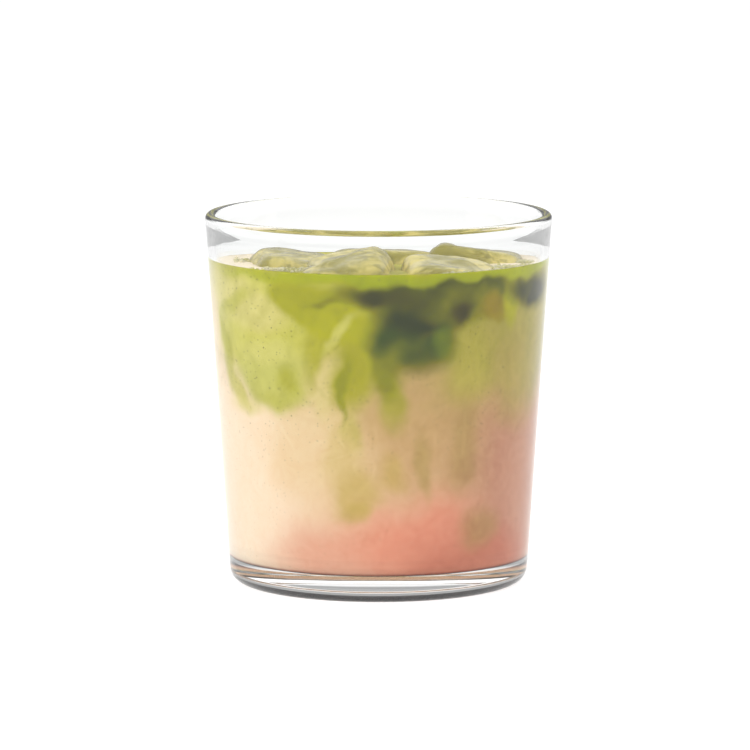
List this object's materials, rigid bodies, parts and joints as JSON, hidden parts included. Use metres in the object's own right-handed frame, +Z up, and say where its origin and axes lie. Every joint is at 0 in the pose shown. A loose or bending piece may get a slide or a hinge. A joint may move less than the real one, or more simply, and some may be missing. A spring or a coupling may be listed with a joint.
{
  "type": "iced matcha latte",
  "caption": "Iced matcha latte in a plain tapered glass tumbler: green matcha swirled over cream and pink fruit milk, with melting ice at the surface",
  "frame": {"origin": "on the table, at the middle of the glass's resting ring", "axes": "+Z up along the glass's axis; -Y towards the front, the side that is usually seen; +X to the right"},
  "size_m": [0.086, 0.086, 0.092],
  "materials": {
    "glass": "clear, polished",
    "matcha": "opaque green tea and milk, glossy wet surface",
    "milk": "opaque cream milk with green swirls",
    "fruit_milk": "opaque pink fruit milk",
    "ice": "melting, wet, cloudy"
  },
  "bodies": {
    "root": {"glass": "glass", "matcha_layer": "matcha", "milk_layer": "milk", "fruit_layer": "fruit_milk", "ice_cube_1": "ice", "ice_cube_2": "ice", "ice_cube_3": "ice", "ice_cube_4": "ice", "ice_cube_5": "ice"}
  },
  "joints": []
}
